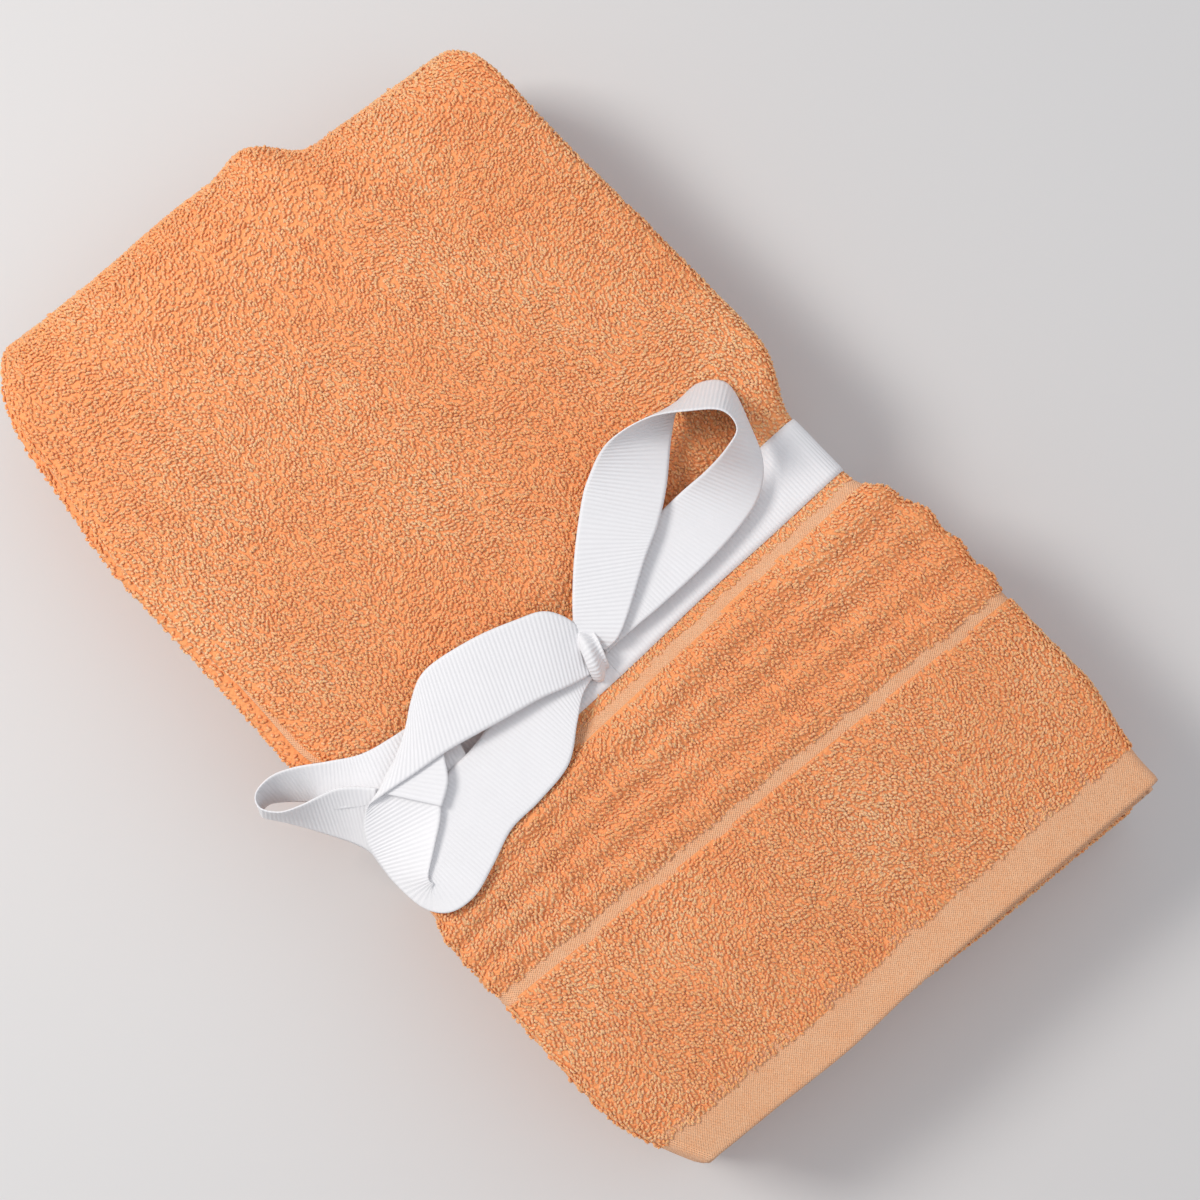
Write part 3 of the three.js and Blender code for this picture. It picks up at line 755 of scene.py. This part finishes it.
SIDE_UPPER = [(-18.5, -50, 1.2), (-21, -66.5, 1.4), (-23.5, -76.5, 1.2), (-28.5, -85, 0.6),
              (-34.5, -94, -1), (-37.5, -101, -3), (-37, -107.5, -4.5), (-33, -109.5, -5),
              (-28, -106, -4.4), (-25, -100, -3), (-23, -94, -0.8), (-21, -89, 1.6), (-18, -85, 2.4),
              (-13, -80, 2.8)]
SIDE_LOWER = [(-0.5, -54.5, 0.8), (-4, -71, 0.8), (-9, -82, 0.6), (-18, -94, -6), (-24, -97, -13),
              (-30, -102.5, -17), (-34, -108, -19), (-33, -112, -20), (-27.5, -108.5, -19.5),
              (-20.5, -104, -19.5), (-13.5, -100, -18.5), (-8, -97, -16), (-3, -95, -12.5),
              (3, -93.8, -9.5)]
TAIL_LEFT = [(-15.5, -69.5, 4.7), (-14, -74.5, 4.4), (-11.5, -80.5, 3.7)]
TAIL_RIGHT = [(-7, -58.5, 5.4), (0, -63, 5.3), (4.5, -69.5, 5.1)]


# ---- materials --------------------------------------------------------------------------


def made_once(store, name):
    """Keeps what a function makes under a name in one of Blender's stores, and gives that back afterwards."""
    def wrap(make):
        @functools.wraps(make)
        def kept():
            return getattr(bpy.data, store).get(name) or make(name)
        return kept
    return wrap


def number_group(name, inputs, outputs):
    """A shader node group whose sockets all hold numbers, and its input and output nodes."""
    group = bpy.data.node_groups.new(name, "ShaderNodeTree")
    for label, default in inputs.items():
        socket = group.interface.new_socket(label, in_out="INPUT", socket_type="NodeSocketFloat")
        socket.default_value = default
    for label in outputs:
        group.interface.new_socket(label, in_out="OUTPUT", socket_type="NodeSocketFloat")
    return group, group.nodes.new("NodeGroupInput"), group.nodes.new("NodeGroupOutput")


def add(tree, kind, links=(), **values):
    """Adds a node, sets its properties or sockets by name, and links (socket, source) pairs into it."""
    node = tree.nodes.new(kind)
    for key, value in values.items():
        if hasattr(node, key):
            setattr(node, key, value)
        else:
            node.inputs[key.replace("_", " ")].default_value = value
    for socket, source in links:
        tree.links.new(source, node.inputs[socket])
    return node


def math_node(tree, operation, *inputs):
    """A Math node's output; an input is a socket or a number."""
    node = add(tree, "ShaderNodeMath", operation=operation)
    for slot, value in enumerate(inputs):
        if isinstance(value, bpy.types.NodeSocket):
            tree.links.new(value, node.inputs[slot])
        else:
            node.inputs[slot].default_value = value
    return node.outputs[0]


def mix(tree, factor, first, second):
    """A colour Mix node's output; a colour is a socket or three numbers. The node's colour sockets are found
    by number, because its number and vector sockets share their names."""
    factor_in, first_in, second_in, colour_out = 0, 6, 7, 2
    node = add(tree, "ShaderNodeMix", data_type="RGBA")
    for slot, value in ((factor_in, factor), (first_in, first), (second_in, second)):
        if isinstance(value, bpy.types.NodeSocket):
            tree.links.new(value, node.inputs[slot])
        else:
            node.inputs[slot].default_value = (*value, 1)
    return node.outputs[colour_out]


def noise(tree, scale, detail, roughness=0.5):
    """Noise of the place on the object, from nought to one."""
    place = add(tree, "ShaderNodeTexCoord").outputs["Object"]
    return add(tree, "ShaderNodeTexNoise", [("Vector", place)], Scale=scale, Detail=detail,
               Roughness=roughness).outputs["Fac"]


def swung(tree, value, amount, base):
    """A base moved up or down by how far a value is from a half."""
    return math_node(tree, "MULTIPLY_ADD", math_node(tree, "SUBTRACT", value, 0.5), amount, base)


@made_once("node_groups", "Nap patches")
def painted_light_and_mottle_group(name):
    """Two noises of place: Light, a wide one, gives soft patches of painted light, paler where the nap would
    lie towards the light and darker where it lies away; Fine is a narrow one.
    """
    group, _, out = number_group(name, {}, ("Light", "Fine"))
    group.links.new(noise(group, 19.0, 2.0), out.inputs["Light"])
    group.links.new(noise(group, 130.0, 3.0, 0.6), out.inputs["Fine"])
    return group


@made_once("node_groups", "Thread weave")
def thread_group(name):
    """A fine weave in the cloth's own map: threads along and across, each a sine with its own spacing."""
    group, source, out = number_group(name, {"Across": 1.0, "Along": 1.0}, ("Height",))
    uv = add(group, "ShaderNodeUVMap", uv_map="cloth").outputs["UV"]
    split = add(group, "ShaderNodeSeparateXYZ", [("Vector", uv)])
    waves = []
    for axis, spacing in (("X", "Across"), ("Y", "Along")):
        turns = math_node(group, "DIVIDE", split.outputs[axis], source.outputs[spacing])
        waves.append(math_node(group, "SINE", math_node(group, "MULTIPLY", turns, TAU)))
    product = math_node(group, "MULTIPLY", *waves)
    group.links.new(math_node(group, "MULTIPLY_ADD", product, 0.5, 0.5), out.inputs["Height"])
    return group


def new_material(name, **shader):
    """A material with a Principled BSDF whose uniform values are set on its own sockets."""
    material = bpy.data.materials.new(name)
    material.use_nodes = True
    bsdf = material.node_tree.nodes["Principled BSDF"]
    for key, value in shader.items():
        bsdf.inputs[key.replace("_", " ")].default_value = value
    return material, material.node_tree, bsdf


def paint(tree, bsdf, factor, first, second):
    """Gives a shader a colour that goes from the first to the second."""
    tree.links.new(mix(tree, factor, first, second), bsdf.inputs["Base Color"])


def raise_by(tree, bsdf, height, strength, distance, invert=False):
    """Gives a shader a fine relief."""
    node = add(tree, "ShaderNodeBump", [("Height", height)], Strength=strength, Distance=distance,
               invert=invert)
    tree.links.new(node.outputs["Normal"], bsdf.inputs["Normal"])


def placed(tree, group, **values):
    """The outputs of a node group placed in a material with its own values."""
    return add(tree, "ShaderNodeGroup", node_tree=group, **values).outputs


@made_once("materials", "terry loops")
def terry_loops(name):
    """Cotton loops: painted shade, darker low on each loop towards the roots, going up to the crest colour;
    each loop its own random shade; and soft patches of painted light, paler where the nap would lie towards
    the light.
    """
    colours = settings().colours
    material, tree, bsdf = new_material(name, Roughness=0.95, Sheen_Weight=0.5, Sheen_Roughness=0.5,
                                        Sheen_Tint=(1.0, 0.78, 0.6, 1), Specular_IOR_Level=0.15,
                                        Subsurface_Weight=0.4, Subsurface_Scale=0.0012,
                                        Subsurface_Radius=(1.0, 0.55, 0.3))
    tone = add(tree, "ShaderNodeAttribute", attribute_name="tone").outputs["Color"]
    part = add(tree, "ShaderNodeSeparateColor", [("Color", tone)])
    own = math_node(tree, "MULTIPLY_ADD", part.outputs["Red"], 0.8, -0.4)
    # Painted light: wide soft patches, where the nap would lie towards the light, make the crests paler.
    light = math_node(tree, "MULTIPLY_ADD", placed(tree, painted_light_and_mottle_group())["Light"], 2.2, -0.8)
    pale = math_node(tree, "ADD", own, light)
    pale = math_node(tree, "MINIMUM", math_node(tree, "MAXIMUM", pale, 0.0), 1.0)
    crest = mix(tree, pale, colours.pile, colours.pale)
    # Painted shade: the colour goes from the darker pile colour at the roots up to the crest colour, for the
    # shade that falls low between the loops.
    paint(tree, bsdf, math_node(tree, "POWER", part.outputs["Green"], 0.75), colours.pile_shade, crest)
    raise_by(tree, bsdf, noise(tree, 2600.0, 1.0), 0.5, 0.12 * MM)
    return material


@made_once("materials", "pile ground")
def pile_ground(name):
    """The woven ground that the loops stand in: darker, as painted shade between the loops, under the same
    patches of painted light, and rough at the scale of the loops.
    """
    colours = settings().colours
    material, tree, bsdf = new_material(name, Roughness=1.0, Specular_IOR_Level=0.1)
    place = add(tree, "ShaderNodeTexCoord").outputs["Object"]
    loops = add(tree, "ShaderNodeTexVoronoi", [("Vector", place)], Scale=900.0).outputs["Distance"]
    light = math_node(tree, "MULTIPLY_ADD", placed(tree, painted_light_and_mottle_group())["Light"], 0.6, 0.4)
    # Painted shade: the ground is darker away from the middles of loop-sized cells, where shade falls between
    # the loops, and follows the painted light patches.
    shade = math_node(tree, "MULTIPLY", math_node(tree, "MULTIPLY_ADD", loops, -0.9, 0.9), light)
    paint(tree, bsdf, shade, colours.pile_shade, colours.pile)
    raise_by(tree, bsdf, loops, 0.8, 0.6 * MM, invert=True)
    return material


@made_once("materials", "flat weave")
def flat_weave(name):
    """Hems, stripes and selvedges: a close plain weave of uneven threads, a little uneven in colour, with
    painted shade that makes it lighter on the raised threads and darker in the dips between them.
    """
    colours = settings().colours
    material, tree, bsdf = new_material(name, Roughness=0.85, Sheen_Weight=0.2, Sheen_Roughness=0.4,
                                        Specular_IOR_Level=0.25)
    weave = placed(tree, thread_group(), Across=0.9 * MM, Along=0.75 * MM)["Height"]
    slub = noise(tree, 1500.0, 2.0, 0.7)
    # Painted shade: the colour follows the weave's height, lighter on the raised threads and darker in the
    # dips between them.
    shade = math_node(tree, "MULTIPLY_ADD", weave, 0.35, 0.5)
    shade = swung(tree, placed(tree, painted_light_and_mottle_group())["Fine"], 0.6, shade)
    paint(tree, bsdf, swung(tree, slub, 1.1, shade), colours.pile, colours.weave)
    raise_by(tree, bsdf, math_node(tree, "MULTIPLY_ADD", slub, 0.9, weave), 0.9, 0.4 * MM)
    return material


@made_once("materials", "grosgrain")
def grosgrain(name):
    """The ribbon: fine warp threads cross the ribs, which are in the mesh; painted shade makes the colour
    lighter on the raised threads and darker in their dips, and a narrow noise of place makes it unevenly
    lighter and darker; a soft sheen.
    """
    base = settings().colours.ribbon
    material, tree, bsdf = new_material(name, Roughness=0.55, Sheen_Weight=0.3, Sheen_Roughness=0.35,
                                        Specular_IOR_Level=0.35)
    weave = placed(tree, thread_group(), Across=0.64 * MM, Along=0.28 * MM)["Height"]
    # Painted shade: the colour follows the weave's height, lighter on the raised threads and darker in the
    # dips between them.
    shade = math_node(tree, "MULTIPLY_ADD", weave, 0.25, 0.4)
    shade = math_node(tree, "MULTIPLY_ADD", placed(tree, painted_light_and_mottle_group())["Fine"], 0.35, shade)
    paint(tree, bsdf, shade, 0.86 * base, base)
    raise_by(tree, bsdf, weave, 0.35, 0.1 * MM)
    return material


@made_once("materials", "floor")
def floor_finish(name):
    """A plain pale floor."""
    material, _, bsdf = new_material(name, Roughness=0.9)
    bsdf.inputs["Base Color"].default_value = (*settings().colours.floor, 1)
    return material


# ---- operators --------------------------------------------------------------------------

STAYING = ("bath_towel_lower_half", "bath_towel_end_fold", "bath_towel_middle_panel", "bath_towel_middle_hem",
           "bath_towel_top_panel", "woven_stripe_near_ribbon", "ribbed_pile_band", "woven_stripe_near_hem",
           "top_selvedge")


class TOWEL_OT_cloth(bpy.types.Operator):
    """Folds the bath towel, in one piece that stays and the hem flap's piece"""
    bl_idname = "towel.cloth"
    bl_label = "Bath towel"

    def execute(self, context):
        towel = settings().towel
        cloth = BathTowel(towel)
        crease = cloth.column(cloth.hem_end - HINGE_X + 9 * MM)
        lifted = float(cloth.v[crease])
        main = cloth.part("bath_towel_cloth", crease, len(cloth.v) - 1)
        flap = cloth.part("hem_flap_cloth", 0, crease)
        for obj in (main, flap):
            obj.data.materials.append(pile_ground())
            obj.data.materials.append(flat_weave())
        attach(main, "bath_towel")
        bend_at_hinge(flap)
        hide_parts(*(node for node in frame["nodes"] if node in STAYING))
        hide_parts(*(node for node in frame["nodes"] if node.startswith("hem_flap")))
        loops = bath_loops(cloth, lifted)
        return {"FINISHED"}


def bend_at_hinge(obj):
    """A piece of the hem flap keeps its place, with its transform applied to its mesh."""
    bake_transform(obj)


def bath_loops(cloth, lifted):
    """Every stretch of the bath towel's face that shows, covered in loops: name, range across, range along,
    coarseness and stretch. lifted is the length of cloth in the hem flap's piece."""
    wrap, bottom, under = cloth.rounds[3:6]
    turned_over, turned, low, far = cloth.stops[3:7]
    over = 3 * MM
    top = (0.0, wrap + over)
    round_fold = (cloth.rounds[2] - 1 * MM, wrap + 2 * MM)
    rest = turned_over - lifted
    cuts = (lifted, lifted + rest / 3, lifted + 2 * rest / 3, turned_over)
    stretches = [
        ("hem_flap_loops_top", top, (0, lifted), 1, 1),
        ("hem_flap_loops_under", (wrap + over, under + over), (0, lifted), 1.5, 1),
        *((f"top_loops_{k + 1}", top, (cuts[k], cuts[k + 1]), 1, 1) for k in range(3)),
        ("end_fold_loops", top, (turned_over, turned), 1.1, 1.17),
        ("lower_turn_loops", top, (low - 4 * MM, far + 4 * MM), 1.2, 1.7),
        ("long_fold_loops", round_fold, (turned, cloth.total), 1.22, 1),
        ("short_fold_loops", (bottom - 1 * MM, under + 1 * MM), (lifted, cloth.total), 1.15, 1),
        ("middle_level_loops", (wrap + over, bottom), (cloth.total - lifted, cloth.total), 1.5, 1),
    ]
    pieces = []
    for seed, (name, u_range, v_range, coarse, stretch) in enumerate(stretches, FIRST_SEED):
        piece = terry_over(cloth, name, u_range, v_range, seed, coarse, stretch)
        piece.data.materials.append(terry_loops())
        if name.startswith("hem_flap"):
            bend_at_hinge(piece)
        else:
            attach(piece, "bath_towel")
        pieces.append(piece)
    return pieces


class InnerTowel(FoldedTowel):
    """A towel laid inside: its width is folded back and forth, and its length folded once if it is doubled.
    shown is how much of its width lies on top, and looped how much of its length gets loops."""

    def __init__(self, towel, name, folds, doubled):
        low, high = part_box(f"{name}_body")
        t = (high[2] - low[2]) / (folds * (2 if doubled else 1))
        ground_share = 0.78
        self.thin = ground_share * t
        half = high[1] - 0.5 * t - self.thin / 2
        pieces = []
        for fold in range(folds):
            height = (folds - 0.5 - fold) * t
            side = 1 - 2 * (fold % 2)
            pieces.append(straight((-side * half, height), (side * half, height), 6 * MM))
            pieces.append(turn((side * half, height - t / 2), t / 2, 90, 90 - 180 * side, 8))
        pieces[-1] = pieces[-2][-1:] + (side * 6 * MM, 0)
        self.shown, self.looped = 2 * half, 280 * MM
        path = self.run(name, low, high, folds * t, doubled)
        super().__init__(towel, np.concatenate(pieces), path, folds * t)

    @staticmethod
    def run(name, low, high, stack, doubled):
        """The path along the towel: straight, or out to the end fold and back."""
        hem_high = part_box(f"{name}_hem")[1]
        end = hem_high[0] - SKEW * high[1]
        start = END_CENTRE + 2 * MM + (stack if doubled else 0)
        top, foot = high[2] - stack / 2, low[2] + stack / 2
        if not doubled:
            return np.concatenate([straight((end, top), (start, top), 5 * MM), [(start, top)]])
        return np.concatenate([
            straight((end, top), (start, top), 5 * MM),
            turn((start, (top + foot) / 2), (top - foot) / 2, 90, 270, 12),
            straight((start, foot), (end - 1.5 * MM, foot), 7 * MM),
            np.array([(end - 1.5 * MM, foot)]),
        ])


class TOWEL_OT_inner(bpy.types.Operator):
    """Folds the hand towel and the washcloth that lie inside"""
    bl_idname = "towel.inner"
    bl_label = "Hand towel and washcloth"

    def execute(self, context):
        inner = settings().inner
        hand = (inner.hand_width, inner.hand_length)
        wash = (inner.wash_size, inner.wash_size)
        for seed, (name, flat, folds, doubled) in enumerate((
            ("hand_towel", hand, 3, True),
            ("washcloth", wash, 2, False),
        ), INNER_SEED):
            cloth = InnerTowel(settings().towel, name, folds, doubled)
            obj = cloth.part(f"{name}_cloth", 0, len(cloth.v) - 1)
            obj.data.materials.append(pile_ground())
            obj.data.materials.append(flat_weave())
            loops = terry_over(cloth, f"{name}_loops", (0, cloth.shown), (0, cloth.looped), seed, 1.9)
            loops.data.materials.append(terry_loops())
            for piece in (obj, loops):
                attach(piece, name)
            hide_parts(f"{name}_body", f"{name}_hem")
        return {"FINISHED"}


class TOWEL_OT_ribbon(bpy.types.Operator):
    """Carries the ribbon round the bundle and wraps the knot"""
    bl_idname = "towel.ribbon"
    bl_label = "Ribbon and knot"

    def execute(self, context):
        make_band()
        knot, long = ribbon_surface("ribbon_knot_wrap", at(KNOT_LEFT), at(KNOT_RIGHT), pleats=1, gather=0.46)
        declare_ribbon(knot, long, "ribbon", "ribbon_knot", folds=2)
        return {"FINISHED"}


class TOWEL_OT_bow(bpy.types.Operator):
    """Lays the bow's loops and the tucked end of the ribbon"""
    bl_idname = "towel.bow"
    bl_label = "Bow"

    def execute(self, context):
        for name, body, node, edge_a, edge_b in (
            ("far_loop", "far_bow", "bow_loop_far", FAR_UPPER, FAR_LOWER),
            ("near_loop", "near_bow", "bow_loop_near", NEAR_LEFT, NEAR_RIGHT),
            ("side_loop", "near_bow", "bow_loop_side", SIDE_UPPER, SIDE_LOWER),
            ("tucked_end", "near_bow", "ribbon_tail", TAIL_LEFT, TAIL_RIGHT),
        ):
            obj, long = ribbon_surface(name, at(edge_a), at(edge_b), gather=0.4)
            declare_ribbon(obj, long, body, node)
        return {"FINISHED"}


def facing(place, target):
    """A turn whose -Z looks from place to target."""
    direction = Vector(target) - Vector(place)
    return direction.to_track_quat("-Z", "Y").to_euler()


def area_light(name, place, size, power, tint):
    """A soft square light that looks at the bundle."""
    data = bpy.data.lights.new(name, "AREA")
    data.size, data.energy, data.color = size, power, tint
    light = bpy.data.objects.new(name, data)
    light.location, light.rotation_euler = place, facing(place, (0, 0, 0.03))
    bpy.context.scene.collection.objects.link(light)


def make_camera():
    """A long lens nearly straight above, from beyond the corner between the hem and the short folds. It looks
    at a point in the towel's top, a little off its middle."""
    azimuth, elevation = math.radians(47), math.radians(81)
    distance, aim = 0.616, np.array((6, 2, 52)) * MM
    shift_right, shift_up = 5.2 * MM, 2.4 * MM
    level = math.cos(elevation)
    back = np.array((math.sin(azimuth) * level, -math.cos(azimuth) * level, math.sin(elevation)))
    right = np.array((math.cos(azimuth), math.sin(azimuth), 0))
    up = np.cross(back, right)
    data = bpy.data.cameras.new("camera")
    data.lens, data.sensor_width = 60.8, 36
    camera = bpy.data.objects.new("camera", data)
    place = aim + back * distance + right * shift_right + up * shift_up
    turned = np.column_stack([right, up, back, place])
    camera.matrix_world = Matrix([*turned.tolist(), [0, 0, 0, 1]])
    bpy.context.scene.collection.objects.link(camera)
    bpy.context.scene.camera = camera


class TOWEL_OT_stage(bpy.types.Operator):
    """Sets the camera, the soft lights and the plain floor"""
    bl_idname = "towel.stage"
    bl_label = "Stage"

    def execute(self, context):
        make_camera()
        foot, wide = min(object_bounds()[0][2], 0), 4.0
        corners = [(x * wide, y * wide, foot) for x, y in ((-1, -1), (1, -1), (1, 1), (-1, 1))]
        floor = new_object("floor", np.array(corners), np.array([(0, 1, 2, 3)]))
        floor.data.materials.append(floor_finish())
        floor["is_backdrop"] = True
        area_light("key", place=(-0.6, -0.42, 0.9), size=0.34, power=7.6, tint=(1, 0.97, 0.93))
        area_light("fill", place=(0.3, 0.4, 1.3), size=1.6, power=4, tint=(0.95, 0.97, 1))
        world = bpy.data.worlds.new("studio")
        world.use_nodes = True
        sky = world.node_tree.nodes["Background"].inputs
        sky["Color"].default_value = (0.93, 0.95, 1, 1)
        sky["Strength"].default_value = 0.52
        context.scene.world = world
        context.scene.view_settings.view_transform = "Standard"
        return {"FINISHED"}


# ---- panel and registration -------------------------------------------------------------


class TOWEL_PT_set(bpy.types.Panel):
    """Lists the settings and the operators that build the towel set"""
    bl_label = "Bath towel set"
    bl_idname = "TOWEL_PT_set"
    bl_space_type = "VIEW_3D"
    bl_region_type = "UI"
    bl_category = "Towels"

    def draw(self, context):
        for group in (settings().towel, settings().inner, settings().ribbon, settings().colours):
            box = self.layout.box()
            for name in group.__annotations__:
                box.prop(group, name)
        for operator in OPERATORS:
            self.layout.operator(operator.bl_idname)


OPERATORS = (TOWEL_OT_cloth, TOWEL_OT_inner, TOWEL_OT_ribbon, TOWEL_OT_bow, TOWEL_OT_stage)
CLASSES = (TowelSettings, InnerSettings, RibbonSettings, ColourSettings, TowelSetSettings, *OPERATORS,
           TOWEL_PT_set)


def register():
    """Registers the classes and puts the settings on the scene."""
    for cls in CLASSES:
        bpy.utils.register_class(cls)
    bpy.types.Scene.towel_set = bpy.props.PointerProperty(type=TowelSetSettings)


def unregister():
    """Takes the settings and the classes away again."""
    del bpy.types.Scene.towel_set
    for cls in reversed(CLASSES):
        bpy.utils.unregister_class(cls)


def main():
    """Builds the towel set."""
    register()
    bpy.ops.towel.cloth()
    bpy.ops.towel.inner()
    bpy.ops.towel.ribbon()
    bpy.ops.towel.bow()
    bpy.ops.towel.stage()
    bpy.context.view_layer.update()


if __name__ == "__main__":
    main()
